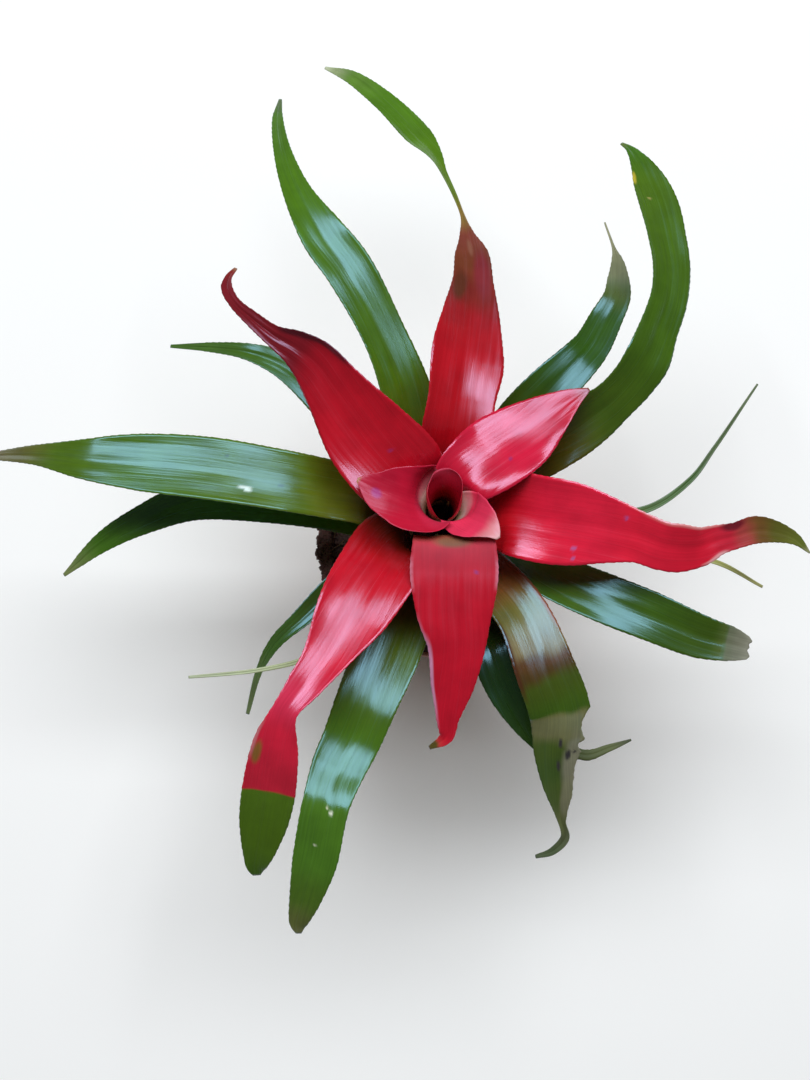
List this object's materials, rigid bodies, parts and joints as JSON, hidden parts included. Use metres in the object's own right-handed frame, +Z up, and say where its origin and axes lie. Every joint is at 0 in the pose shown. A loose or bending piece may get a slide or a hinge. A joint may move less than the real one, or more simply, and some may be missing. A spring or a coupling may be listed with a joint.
{
  "type": "blushing bromeliad",
  "caption": "Potted bromeliad rosette: strap leaves, red round a rolled heart and green outside, arching over a plain nursery pot of peat.",
  "frame": {"origin": "centre of the pot's flat base, on the surface that the pot stands on", "axes": "+Z up along the pot's axis, +Y towards the plant's back, +X towards its right"},
  "size_m": [0.4389, 0.5093, 0.2076],
  "materials": {
    "red_leaf": "waxy living leaf, glossy red",
    "green_leaf": "waxy living leaf, glossy green",
    "thin_leaf": "waxy living leaf, narrow",
    "stem": "dull pith with leaf scars",
    "peat": "moist peat and coir fibre",
    "pot_plastic": "thin moulded terracotta-coloured plastic"
  },
  "bodies": {
    "root": {"nursery_pot": "pot_plastic", "potting_soil": "peat", "stem": "stem", "heart_leaf_rolled": "red_leaf", "heart_leaf_left": "red_leaf", "heart_leaf_right": "red_leaf", "red_leaf_back_right": "red_leaf", "red_leaf_back_left": "red_leaf", "red_leaf_front": "red_leaf", "red_leaf_right": "red_leaf", "red_leaf_back": "red_leaf", "red_leaf_front_left": "red_leaf", "green_leaf_back_right": "green_leaf", "green_leaf_back": "green_leaf", "green_leaf_front": "green_leaf", "green_leaf_left": "green_leaf", "torn_leaf_front_right": "green_leaf", "torn_leaf_right": "green_leaf", "green_leaf_back_right_low": "green_leaf", "green_leaf_left_low": "green_leaf", "green_leaf_back_left": "green_leaf", "green_leaf_front_low": "green_leaf", "narrow_leaf_front_left": "green_leaf", "thin_leaf_right": "thin_leaf", "thin_leaf_right_low": "thin_leaf", "thin_leaf_front_right": "thin_leaf", "thin_leaf_front_left": "thin_leaf"}
  },
  "joints": []
}
